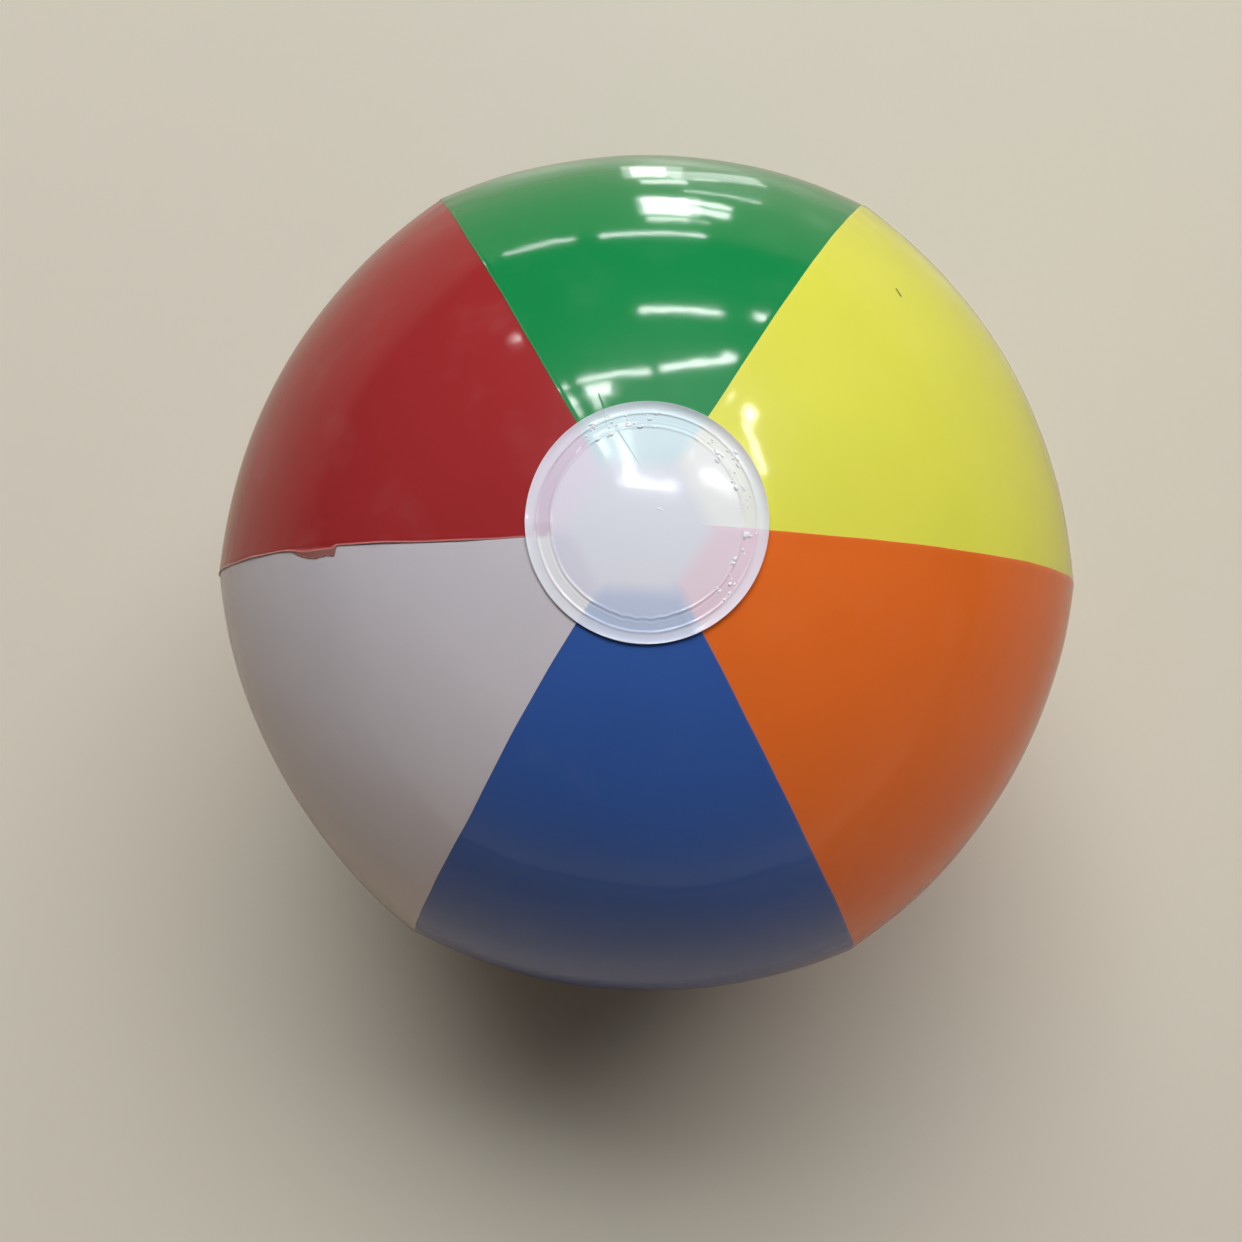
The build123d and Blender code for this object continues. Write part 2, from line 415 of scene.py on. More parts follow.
@dataclass(frozen=True)
class DiscFinish:
    """Milky film of an end disc. The panels' tips beneath it show through as pale tints.

    The tints are soft where the film stands clear of the tips, and crisp and deeper where the
    weld presses the two together.
    """

    name: str
    centre: Tuple[float, float]
    radius: float
    opening_apothem: float
    seam_azimuths: Tuple[float, ...]
    marks: Tuple[Mark, ...] = ()
    milk: Colour = (0.855, 0.88, 0.975)
    soft_tints: Tuple[Colour, ...] = (
        (0.96, 0.98, 0.98),
        (0.73, 0.92, 0.97),
        (0.90, 0.84, 0.98),
        (0.79, 0.79, 0.92),
        (0.61, 0.69, 0.91),
        (0.93, 0.77, 0.88),
    )
    pressed_tints: Tuple[Colour, ...] = (
        (0.92, 0.94, 0.88),
        (0.68, 0.88, 0.94),
        (0.79, 0.67, 0.81),
        (0.93, 0.94, 0.99),
        (0.56, 0.66, 0.90),
        (0.94, 0.74, 0.86),
    )
    edge_shift: float = 1.2 * MM
    tip_blur: float = 2.8 * MM
    soft_blur: float = 0.012
    crisp_blur: float = 0.0015
    weld_from: Tuple[float, float] = (0.76, 0.81)
    weld_to: Tuple[float, float] = (0.89, 0.93)
    smear_size: float = 7 * MM
    dimple_size: float = 4 * MM
    grain_size: float = 0.6 * MM
    alpha: float = 0.96
    roughness: float = 0.085

    def _tint(self, graph: Graph, turn: Value, tints: Sequence[Colour], blur: float) -> Any:
        """The tint of the panel beneath, by the share of a turn since the first seam."""
        first = self.seam_azimuths[0]
        starts = [(azimuth - first) / FULL_TURN for azimuth in self.seam_azimuths]
        stops = []
        for index, (start, tint) in enumerate(zip(starts, tints)):
            end = starts[index + 1] if index + 1 < len(starts) else 1.0
            stops += [(start + blur, tint), (end - blur, tint)]
        return graph.node("ShaderNodeValToRGB", {"stops": stops}, {0: turn}).outputs[0]

    def material(self) -> bpy.types.Material:
        """Builds the disc's material."""
        surface = Surface(self.name, self.alpha)
        graph, place = surface.graph, surface.place
        x, y, _ = graph.axes(place)

        # Which panel lies beneath, by the turn about the ball's axis, past the panel's welded edge
        reach = length(x, y).at_least(1 * MM)
        first = self.seam_azimuths[0]
        turn = ((y.turn_of(x) - self.edge_shift / reach - first) % FULL_TURN) / FULL_TURN
        apothem = reach * past_middle(x, y, first, len(self.seam_azimuths)).cosine()
        opening = self.opening_apothem
        over_tip = apothem.rise(opening - self.tip_blur, opening + self.tip_blur)
        soft = self._tint(graph, turn, self.soft_tints, self.soft_blur)
        crisp = self._tint(graph, turn, self.pressed_tints, self.crisp_blur)
        out = length(x - self.centre[0], y - self.centre[1]) / self.radius
        flap = out.rise(*self.weld_to)
        colour = graph.mix(over_tip, opaque(self.milk), soft)
        colour = graph.mix(out.rise(*self.weld_from) * (1 - 0.68 * flap), colour, crisp)
        haze = graph.noise(place, 11 * MM, 3.0) * 0.10 + flap * 0.32
        colour = graph.mix(haze, colour, opaque(blended(self.milk, WHITE, 0.45)))

        dimples = graph.noise(place, self.dimple_size, 2.0)
        height = dimples * 2.4 + graph.noise(place, self.grain_size) * 0.1
        for mark in self.marks:
            on_it = mark.mask(x, y)
            height = height + on_it * mark.rise
            if mark.colour:
                colour = graph.mix(on_it, colour, opaque(mark.colour))
        gloss = self.roughness + 0.07 * graph.noise(place, self.smear_size, 4.0)
        return surface.finish(colour, gloss, height, 0.6, 0.03 * MM)


@dataclass(frozen=True)
class PlainFinish:
    """Clear or milky vinyl of one colour, with faint flow marks and a fine grain.

    The flow marks are a little darker and smoother. Their flow is (size, detail).
    """

    name: str
    colour: Colour
    shaded: Colour
    roughness: float
    unevenness: float
    flow: Tuple[float, float]
    grain_size: float
    grain_strength: float
    grain_depth: float
    alpha: float = 1.0
    ior: float = VINYL_IOR

    def material(self) -> bpy.types.Material:
        """Builds the material."""
        surface = Surface(self.name, self.alpha, self.ior)
        flow = surface.graph.noise(surface.place, *self.flow)
        colour = surface.graph.mix(flow, opaque(self.shaded), opaque(self.colour))
        gloss = self.roughness + self.unevenness * flow
        grain = surface.graph.noise(surface.place, self.grain_size)
        return surface.finish(colour, gloss, grain, self.grain_strength, self.grain_depth)


# The bubbles are painted whiter than the disc's film around them: a painted highlight
BUBBLE_FILM = PlainFinish(
    name="end_disc_bubbles",
    colour=(0.94, 0.96, 1.0),
    shaded=(0.90, 0.92, 0.96),
    roughness=0.12,
    unevenness=0.04,
    flow=(1.2 * MM, 2.0),
    grain_size=0.2 * MM,
    grain_strength=0.3,
    grain_depth=0.01 * MM,
    ior=1.6,
)
MOULDED_VINYL = PlainFinish(
    name="moulded_valve_vinyl",
    colour=(0.66, 0.71, 0.76),
    shaded=(0.52, 0.58, 0.64),
    roughness=0.24,
    unevenness=0.16,
    flow=(3.5 * MM, 3.0),
    grain_size=0.5 * MM,
    grain_strength=0.5,
    grain_depth=0.02 * MM,
    alpha=0.86,
)


# ------------------------------------------------------------------ the ball's form


def eased(amount: np.ndarray, start: float, span: float) -> np.ndarray:
    """Goes smoothly from 0 to 1 as the amount crosses a span, and stays there."""
    share = np.clip((amount - start) / span, 0.0, 1.0)
    return share * share * (3 - 2 * share)


def sines(along: np.ndarray, *waves: Tuple[float, float, float]) -> np.ndarray:
    """Adds up sine waves of (height, length for one radian, start) at distances along a seam."""
    return sum(height * np.sin(along / pace + start) for height, pace, start in waves)


@dataclass(frozen=True)
class BallForm:
    """The blown-up skin: crowned panels whose seams stand out further than their middle lines."""

    centre: Vector
    meridian_radius: float = 137.0 * MM
    crown_offset: float = 28.0 * MM
    opening_apothem: float = 15.6 * MM
    sides: int = 6

    @property
    def crown_radius(self) -> float:
        """Radius of a panel's cross arc."""
        return self.meridian_radius + self.crown_offset

    @property
    def tip_tilt(self) -> float:
        """Tilt from the pole at which the panels are cut off."""
        return math.asin(self.opening_apothem / self.meridian_radius)

    def seam_swing(self, tilt: np.ndarray, half_width: float) -> np.ndarray:
        """How far a cross arc swings from its middle to its seam.

        Args:
            tilt: Tilts from the upper pole.
            half_width: Half of the turn that the panel takes up.

        Returns:
            The swing at each tilt, in radians.
        """
        lean = np.arctan(np.sin(tilt) * math.tan(half_width))
        return lean - np.arcsin(self.crown_offset * np.sin(lean) / self.crown_radius)

    def point(
        self, azimuth: float, tilt: np.ndarray, swing: np.ndarray, height: np.ndarray
    ) -> np.ndarray:
        """Points over a panel's smooth surface.

        Args:
            azimuth: The panel's middle.
            tilt: Tilts from the upper pole.
            swing: Swings along the cross arc, anticlockwise.
            height: Heights over the surface.

        Returns:
            An array of points, one for each entry of the broadcast arguments.
        """
        radius = self.crown_radius + height
        reach = radius * np.cos(swing) - self.crown_offset
        aside = radius * np.sin(swing)
        level = reach * np.sin(tilt)
        cosine, sine = math.cos(azimuth), math.sin(azimuth)
        x = level * cosine - aside * sine + self.centre.x
        y = level * sine + aside * cosine + self.centre.y
        z = reach * np.cos(tilt) + self.centre.z
        return np.stack(np.broadcast_arrays(x, y, z), axis=-1)


@dataclass(frozen=True)
class Gore:
    """One panel's share of the ball, between two seams."""

    vinyl: Vinyl
    start: float
    end: float

    @property
    def middle(self) -> float:
        """Azimuth of the panel's middle line."""
        return (self.start + self.end) / 2

    @property
    def half_width(self) -> float:
        """Half of the turn between its seams."""
        return (self.end - self.start) / 2


@dataclass(frozen=True)
class SeamEdge:
    """How the free edge of one weld lap lies."""

    waviness: float = 0.12 * MM
    curl: float = 0.0
    flash_from: float = 0.0
    flash_to: float = 0.0
    flash_depth: float = 0.0


@dataclass(frozen=True)
class SeamDrift:
    """How far a seam strays anticlockwise from its even place, near its disc and farther out."""

    near: float
    far: float

    def at(self, tilt: np.ndarray) -> np.ndarray:
        """The drift at each tilt from the upper pole. It is gone a little below the belt."""
        outward = eased(tilt, math.radians(13), math.radians(25))
        gone = eased(tilt, math.radians(70), math.radians(40))
        return (self.near + (self.far - self.near) * outward) * (1 - gone)


@dataclass
class Skin:
    """The six film panels, each lapped over the next one anticlockwise and welded to it."""

    form: BallForm
    valve_point: Vector
    valve_axis: Vector
    valve_hole: float = 9.0 * MM
    seams: Tuple[float, ...] = tuple(
        math.radians(turn) for turn in (-0.9, 59.3, 120.3, 182.5, 239.0, 299.9)
    )
    film: float = 0.13 * MM
    weld_gap: float = 0.015 * MM
    weld_width: float = 3.5 * MM
    weld_reach: float = 1.2 * MM
    disc_tilt: float = math.radians(14.0)
    joggle: float = 6.0 * MM
    near_seam: float = 5.0 * MM
    rows: int = 300
    near_columns: int = 9
    inner_columns: int = 38
    flash_rows: int = 100
    flash_margin: float = math.radians(0.4)
    ripple: float = 0.07 * MM
    ripple_length: float = 10.5 * MM
    ripple_reach: float = 8.0 * MM
    undulation: float = 0.10 * MM
    wave_seed: int = 11
    wave_count: int = 14
    wave_lengths_mm: Tuple[float, float] = (34.0, 95.0)
    wave_unit: float = 60 * MM
    calm_disc: Tuple[float, float] = (34 * MM, 30 * MM)
    calm_valve: Tuple[float, float] = (14 * MM, 14 * MM)
    lap_shares: Tuple[float, ...] = (0.08, 0.18, 0.3, 0.42, 0.55, 0.67, 0.78, 0.87, 0.94, 1.0)
    flash_shares: Tuple[float, ...] = (0.3, 0.6, 0.85, 1.0)
    tuck_shares: Tuple[float, ...] = (1.0, 0.72, 0.45, 0.2)
    drifts: Tuple[SeamDrift, ...] = (
        SeamDrift(-0.25 * MM, -0.50 * MM),
        SeamDrift(-0.75 * MM, 0.15 * MM),
        SeamDrift(0.0, 0.0),
        SeamDrift(0.70 * MM, -0.75 * MM),
        SeamDrift(-1.35 * MM, 0.40 * MM),
        SeamDrift(0.35 * MM, 0.0),
    )
    edges: Dict[Vinyl, SeamEdge] = field(
        default_factory=lambda: {
            Vinyl.RED: SeamEdge(
                waviness=0.22 * MM,
                curl=0.36 * MM,
                flash_from=math.radians(31.6),
                flash_to=math.radians(40.3),
                flash_depth=2.9 * MM,
            ),
            Vinyl.GREEN: SeamEdge(waviness=0.14 * MM, curl=0.12 * MM),
        }
    )
    gores: List[Gore] = field(init=False)
    waves: List[Tuple[np.ndarray, float, float]] = field(init=False)

    def __post_init__(self) -> None:
        """Works out the panels' places and the long waves in the film."""
        ends = self.seams[1:] + (self.seams[0] + FULL_TURN,)
        self.gores = [Gore(*place) for place in zip(Vinyl, self.seams, ends)]
        chance = np.random.default_rng(self.wave_seed)
        self.waves = []
        for _ in range(self.wave_count):
            heading = chance.normal(size=3)
            heading /= np.linalg.norm(heading)
            long = chance.uniform(*self.wave_lengths_mm) * MM
            self.waves.append((heading * FULL_TURN / long, chance.uniform(0, FULL_TURN), long))

    # ---- the surface that the films follow

    def _natural_seam(self, gore: Gore, side: int, tilt: np.ndarray) -> np.ndarray:
        """A panel's own edge before it meets its neighbour's: side is 1 for anticlockwise."""
        swing = side * self.form.seam_swing(tilt, gore.half_width)
        return self.form.point(gore.middle, tilt, swing, np.zeros_like(tilt))

    def _closing(self, index: int, side: int, tilt: np.ndarray) -> np.ndarray:
        """How far a panel's edge moves to meet its neighbour's halfway."""
        own = self._natural_seam(self.gores[index], side, tilt)
        neighbour = self.gores[(index + side) % len(self.gores)]
        other = self._natural_seam(neighbour, -side, tilt)
        return (other - own) / 2

    def _seam_of(self, index: int, side: int) -> int:
        """The number of the seam at one side of a panel."""
        return (index + (1 if side > 0 else 0)) % len(self.gores)

    def _seam_arc(self, index: int, tilt: np.ndarray) -> np.ndarray:
        """Distance from a panel's middle line to its seam at each tilt, as one column."""
        swing = self.form.seam_swing(tilt, self.gores[index].half_width)
        return swing[:, None] * self.form.crown_radius

    def _edge(self, index: int) -> SeamEdge:
        """How the free edge of a panel's lap lies."""
        return self.edges.get(self.gores[index].vinyl, SeamEdge())

    def _joggled(self, past: np.ndarray) -> np.ndarray:
        """The share that a film has stepped up at distances past the middle of a joggle."""
        return eased(past, -self.joggle / 2, self.joggle)

    def _film_waves(self, points: np.ndarray) -> np.ndarray:
        """Height of the long soft waves in the film, faded out at the discs and the valve."""
        total = np.zeros(points.shape[:-1])
        for pace, start, long in self.waves:
            total += np.sin(points @ pace + start) * long / self.wave_unit
        total *= self.undulation / math.sqrt(len(self.waves) / 2)
        from_axis = np.hypot(points[..., 0], points[..., 1])
        from_valve = np.linalg.norm(points - np.array(self.valve_point), axis=-1)
        return total * eased(from_axis, *self.calm_disc) * eased(from_valve, *self.calm_valve)

    def _puckers(self, seam: int, tilt: np.ndarray, beside: np.ndarray) -> np.ndarray:
        """Height of the small puckers that a seam draws in the film on both its sides.

        Args:
            seam: The seam's number.
            tilt: Tilts from the upper pole.
            beside: Distances from the seam.

        Returns:
            The heights.
        """
        along = tilt * self.form.meridian_radius
        wander = sines(along, (1.4, 23 * MM, 2.1 * seam), (0.9, 9.7 * MM, seam))
        swell = 0.55 + sines(along, (0.45, 31 * MM, 1.7 * seam))
        fade = np.exp(-((beside / self.ripple_reach) ** 2))
        belt = eased(np.sin(tilt), 0.25, 0.75)
        wave = np.sin(FULL_TURN * along / self.ripple_length + wander + 0.8 * seam)
        return self.ripple * wave * swell * fade * belt

    def _surface(
        self, index: int, tilt: np.ndarray, arc: np.ndarray, height: np.ndarray
    ) -> np.ndarray:
        """Points over one panel's part of the skin.

        Args:
            index: The panel's number.
            tilt: Tilts from the upper pole, one for each row.
            arc: Distances from the middle line, anticlockwise, rows by columns.
            height: Heights over the skin, rows by columns.

        Returns:
            Points, rows by columns by three.
        """
        middle, rows = self.gores[index].middle, tilt[:, None]
        swing, edge = arc / self.form.crown_radius, self._seam_arc(index, tilt)
        for side in (-1, 1):
            beside = np.abs(edge - side * arc)
            height = height + self._puckers(self._seam_of(index, side), rows, beside)
        even = self.form.point(middle, rows, swing, np.zeros_like(arc))
        points = self.form.point(middle, rows, swing, height + self._film_waves(even))
        for side in (-1, 1):
            share = eased(side * arc, 0.0, edge)[..., None]
            points += self._closing(index, side, tilt)[:, None, :] * share
        return self._drifted(points, rows)

    def _drifted(self, points: np.ndarray, tilt: np.ndarray) -> np.ndarray:
        """Turns points about the ball's axis by the drift of the seams on both their sides."""
        turn = np.mod(np.arctan2(points[..., 1], points[..., 0]) - self.seams[0], FULL_TURN)
        starts = np.array(self.seams + (self.seams[0] + FULL_TURN,)) - self.seams[0]
        drift = np.zeros_like(turn)
        for index, start in enumerate(starts[:-1]):
            end = starts[index + 1]
            share = eased(turn, start, end - start)
            here = self.drifts[index].at(tilt)
            there = self.drifts[(index + 1) % len(self.drifts)].at(tilt)
            drift = np.where((turn >= start) & (turn <= end), here + (there - here) * share, drift)
        angle = drift / np.maximum(np.hypot(points[..., 0], points[..., 1]), 10 * MM)
        cosine, sine = np.cos(angle), np.sin(angle)
        x, y = points[..., 0], points[..., 1]
        return np.stack([x * cosine - y * sine, x * sine + y * cosine, points[..., 2]], axis=-1)

    def disc_seams(self, reach: float) -> Tuple[float, ...]:
        """Azimuths at which the seams pass a distance from the ball's axis, under the disc."""
        return tuple(seam + drift.near / reach for seam, drift in zip(self.seams, self.drifts))

    # ---- one panel's sheet of film

    def _tilts(self, index: int) -> np.ndarray:
        """Tilts of a panel's rows of points, closer together along a ragged piece of edge."""
        tip = self.form.tip_tilt
        even = np.linspace(tip, math.pi - tip, self.rows)
        edge = self._edge(index)
        if edge.flash_depth == 0:
            return even
        margin = self.flash_margin
        near = np.linspace(edge.flash_from - margin, edge.flash_to + margin, self.flash_rows)
        apart = (even < near[0] - margin / 4) | (even > near[-1] + margin / 4)
        return np.sort(np.concatenate([even[apart], near]))

    def _lap_edge(self, index: int, tilt: np.ndarray) -> Tuple[np.ndarray, np.ndarray]:
        """How far past the seam a panel's lap reaches, without and with its flash of spare film."""
        edge = self._edge(index)
        along = tilt * self.form.meridian_radius
        waves = (0.5, 7.3 * MM, index), (0.3, 3.1 * MM, 2 * index), (0.6, 19 * MM, 3 * index)
        plain = self.weld_reach + edge.waviness * sines(along, *waves)
        if edge.flash_depth == 0:
            return plain, plain
        into = (tilt - edge.flash_from) / (edge.flash_to - edge.flash_from)
        shape = eased(into, 0.0, 0.14) * eased(1 - into, 0.0, 0.42)
        ragged = 1 + 0.07 * np.sin(into * 17) + 0.04 * np.sin(into * 43 + 1)
        return plain + 0.9 * MM * shape, plain + edge.flash_depth * shape * ragged

    def _lap_columns(self, index: int, tilt: np.ndarray) -> Tuple[np.ndarray, np.ndarray]:
        """Distances past the seam and heights of the lap that lies on the next panel.

        Args:
            index: The panel's number.
            tilt: Tilts of the rows.

        Returns:
            Both rows by columns.
        """
        edge = self._edge(index)
        plain, reach = self._lap_edge(index, tilt)
        shares = np.array(self.lap_shares)
        lift = self.film + self.weld_gap
        past = shares[None, :] * plain[:, None]
        height = lift * self._joggled(past)
        curled = eased(shares, 0.5, 0.5)[None, :]
        from_pole = np.minimum(tilt, math.pi - tilt)[:, None]
        free = eased(from_pole, self.disc_tilt, math.radians(3.0))
        height += edge.curl * curled * free * (0.75 + 0.25 * np.sin(tilt * 31)[:, None])
        # The flash bends down from the weld's edge and lies on the next panel
        beyond = (reach - plain)[:, None]
        out = np.array(self.flash_shares)[None, :]
        past = np.hstack([past, plain[:, None] + beyond * out + 0.06 * MM * out])
        sag = eased(beyond, 0.0, 0.4 * MM)
        low = lift + 0.05 * MM
        tail = height[:, -1:] + (low - height[:, -1:]) * sag * eased(out * 1.6, 0.0, 1.0)
        tail = tail - 0.06 * MM * np.array([0.1, 0.3, 0.6, 1.0])[None, :] * (1 - sag)
        return past, np.hstack([height, tail])

    def _sheet(self, index: int) -> Tuple[np.ndarray, np.ndarray, Dict[str, np.ndarray]]:
        """Top and underside points of one panel's film, rows by columns by three, and its marks.

        The marks are "from_edge", the distance in millimetres from the lap's welded edge, which
        is kept far above the lap's on the rest, and "flash", which is 1 on the spare film past it.
        """
        panels = len(self.gores)
        before, after = (index - 1) % panels, (index + 1) % panels
        tilt = self._tilts(index)
        lift = self.film + self.weld_gap

        edge = self._seam_arc(index, tilt)
        beside = self.near_seam * np.linspace(0, 1, self.near_columns)[None, :] ** 1.3
        middle = (edge - self.near_seam) * np.linspace(-1, 1, self.inner_columns + 2)[None, 1:-1]
        arc = np.hstack([-edge + beside, middle, edge - beside[:, ::-1]])
        height = lift * (self._joggled(arc + edge) - 1) + lift * self._joggled(arc - edge)

        tucked = (self.weld_width - self.weld_reach) * np.array(self.tuck_shares)[None, :]
        past, lap_height = self._lap_columns(index, tilt)
        # The tucked strip lies under the panel before, and the lap on the panel after
        strips = (
            (before, self._seam_arc(before, tilt) - tucked, lift * (self._joggled(-tucked) - 1)),
            (index, arc, height),
            (after, past - self._seam_arc(after, tilt), lap_height),
        )
        top, under = (
            np.hstack([self._surface(on, tilt, over, high - depth) for on, over, high in strips])
            for depth in (0.0, self.film)
        )
        weld_edge = past[:, -1 - len(self.flash_shares), None]
        from_edge = np.full(top.shape[:2], 9.0)
        from_edge[:, -past.shape[1] :] = np.abs(weld_edge - past) / MM
        shaded_flash = np.zeros_like(from_edge)
        beyond = past[:, -1:] - weld_edge
        shaded_flash[:, -len(self.flash_shares) :] = eased(beyond, 0.1 * MM, 0.3 * MM)
        return top, under, {"from_edge": from_edge, "shaded_flash": shaded_flash}

    def panel(self, index: int) -> bpy.types.Object:
        """Builds one panel as a closed sheet of film.

        Args:
            index: The panel's number, anticlockwise.

        Returns:
            The panel, without its finish.
        """
        gore = self.gores[index]
        top, under, marks = self._sheet(index)
        made = closed_sheet(f"{gore.vinyl.node}_film", top, under)
        for label, amounts in marks.items():
            layer = made.data.attributes.new(label, "FLOAT", "POINT")
            layer.data.foreach_set("value", np.tile(amounts.ravel(), 2).astype(np.float32))
        if gore.vinyl is Vinyl.WHITE:
            self._cut_valve_hole(made)
        return made

    def _cut_valve_hole(self, panel: bpy.types.Object) -> None:
        """Cuts the round hole that the valve's skirt goes through."""
        facing = self.valve_axis.to_track_quat("Z", "Y").to_matrix().to_4x4()
        place = Matrix.Translation(self.valve_point) @ facing
        drill = bmesh.new()
        bmesh.ops.create_cone(
            drill,
            cap_ends=True,
            segments=96,
            radius1=self.valve_hole,
            radius2=self.valve_hole,
            depth=20 * MM,
            matrix=place,
        )
        cutter = mesh_object("valve_hole_cutter", drill)
        cut = panel.modifiers.new("valve_hole", "BOOLEAN")
        cut.operation = "DIFFERENCE"
        cut.solver = "EXACT"
        cut.object = cutter
        bake_modifiers(panel)
        bpy.data.objects.remove(cutter)


# ------------------------------------------------------------------ mesh helpers


def into_scene(name: str, data: bpy.types.ID) -> bpy.types.Object:
    """Makes an object of a mesh, a lamp or a camera and puts it in the scene."""
    made = bpy.data.objects.new(name, data)
    bpy.context.scene.collection.objects.link(made)
    return made


def mesh_object(name: str, built: bmesh.types.BMesh) -> bpy.types.Object:
    """Makes an object from a bmesh and frees the bmesh."""
    mesh = bpy.data.meshes.new(name)
    built.to_mesh(mesh)
    built.free()
    return into_scene(name, mesh)


def bake_modifiers(piece: bpy.types.Object) -> None:
    """Replaces a piece's mesh by what its modifiers make of it, and removes them."""
    graph = bpy.context.evaluated_depsgraph_get()
    mesh = bpy.data.meshes.new_from_object(piece.evaluated_get(graph))
    piece.modifiers.clear()
    old = piece.data
    piece.data = mesh
    bpy.data.meshes.remove(old)


def closed_sheet(name: str, top: np.ndarray, under: np.ndarray) -> bpy.types.Object:
    """Makes a closed sheet of film from the points of its two faces.

    Args:
        name: The new object's name.
        top: Outer points, rows by columns by three. Rows go down the ball and columns turn
            anticlockwise.
        under: Inner points, in the same order.

    Returns:
        The sheet.
    """
    rows, columns = top.shape[:2]
    count = rows * columns
    numbers = np.arange(count).reshape(rows, columns)
    a, b = numbers[:-1, :-1].ravel(), numbers[:-1, 1:].ravel()
    c, d = numbers[1:, 1:].ravel(), numbers[1:, :-1].ravel()
    outer = np.stack([a, d, c, b], axis=1)
    inner = np.stack([a, b, c, d], axis=1) + count
    walls = [outer, inner]
    for rim, flip in (
        (numbers[0, :], False),
        (numbers[-1, :], True),
        (numbers[:, 0], True),
        (numbers[:, -1], False),
    ):
        here, there = rim[:-1], rim[1:]
        wall = np.stack([here, there, there + count, here + count], axis=1)
        walls.append(wall[:, ::-1] if flip else wall)
    mesh = bpy.data.meshes.new(name)
    points = np.concatenate([top.reshape(-1, 3), under.reshape(-1, 3)])
    mesh.from_pydata(points.tolist(), [], np.concatenate(walls).tolist())
    mesh.validate()
    return into_scene(name, mesh)


def report(piece: bpy.types.Object) -> None:
    """Logs a finished piece."""
    log.info("%s: %d faces", piece.name, len(piece.data.polygons))


def smooth(piece: bpy.types.Object, corner: float = 40.0) -> None:
    """Shades a piece smooth, apart from edges sharper than a corner in degrees."""
    piece.data.shade_smooth()
    piece.data.set_sharp_from_angle(angle=math.radians(corner))


def on_round(radius: float, angle: float, height: float) -> Vector:
    """The point at a distance from Z, a turn from +X and a height."""
    return Vector((radius * math.cos(angle), radius * math.sin(angle), height))


def ringed(name: str, rings: Sequence[Sequence[Vector]], endless: bool) -> bpy.types.Object:
    """Joins rings of points, each to the next, into a closed piece.

    Args:
        name: The new object's name.
        rings: The rings, with the same number of points in each.
        endless: Whether the last ring joins the first. If it doesn't, both are capped.

    Returns:
        The piece.
    """
    built = bmesh.new()
    loops = [[built.verts.new(point) for point in ring] for ring in rings]
    for here, there in zip(loops, loops[1:] + (loops[:1] if endless else [])):
        for k in range(len(here)):
            n = (k + 1) % len(here)
            built.faces.new((here[k], there[k], there[n], here[n]))
    if not endless:
        built.faces.new(loops[0])
        built.faces.new(loops[-1][::-1])
    bmesh.ops.recalc_face_normals(built, faces=built.faces)
    return mesh_object(name, built)


# ------------------------------------------------------------------ end discs


class Pole(Enum):
    """The ball's two poles, with the side of its centre that each is on."""

    TOP = 1.0
    BOTTOM = -1.0

    @property
    def node(self) -> str:
        """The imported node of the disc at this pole."""
        return f"end_disc_{self.name.lower()}"


class Tree:
    """A geometry node tree with named inputs, run on an empty mesh to make a piece."""

    def __init__(self, name: str, sizes: Dict[str, float], counts: Dict[str, int]) -> None:
        """Starts the tree.

        Args:
            name: The tree's name.
            sizes: Its number inputs and what they are set to.
            counts: Its whole-number inputs and what they are set to.
        """
        self.tree = bpy.data.node_groups.new(name, "GeometryNodeTree")
        self.graph = Graph(self.tree)
        self.settings = {**sizes, **counts}
        self.sockets: Dict[str, str] = {}
        for label, given in self.settings.items():
            kind = "NodeSocketInt" if label in counts else "NodeSocketFloat"
            socket = self.tree.interface.new_socket(name=label, in_out="INPUT", socket_type=kind)
            self.sockets[label] = socket.identifier
        self.tree.interface.new_socket(
            name="Geometry", in_out="OUTPUT", socket_type="NodeSocketGeometry"
        )
        self.inputs = self.graph.node("NodeGroupInput")

    def size(self, label: str) -> Value:
        """One of the tree's inputs."""
        return self.graph.value(self.inputs.outputs[label])

    def finish(
        self, name: str, geometry: bpy.types.NodeSocket, material: bpy.types.Material
    ) -> bpy.types.Object:
        """Ends the tree, runs it and keeps its result as a plain mesh.

        Args:
            name: The new object's name.
            geometry: What the tree makes.
            material: The finish that it sets.

        Returns:
            The piece.
        """
        real = self.graph.node("GeometryNodeRealizeInstances", {}, {0: geometry}).outputs[0]
        dressed = self.graph.node(
            "GeometryNodeSetMaterial", {}, {"Geometry": real, "Material": material}
        ).outputs[0]
        self.graph.node("NodeGroupOutput", {}, {"Geometry": dressed})
        made = into_scene(name, bpy.data.meshes.new(name))
        run = made.modifiers.new("rule", "NODES")
        run.node_group = self.tree
        for label, given in self.settings.items():
            run[self.sockets[label]] = given
        bake_modifiers(made)
        return made


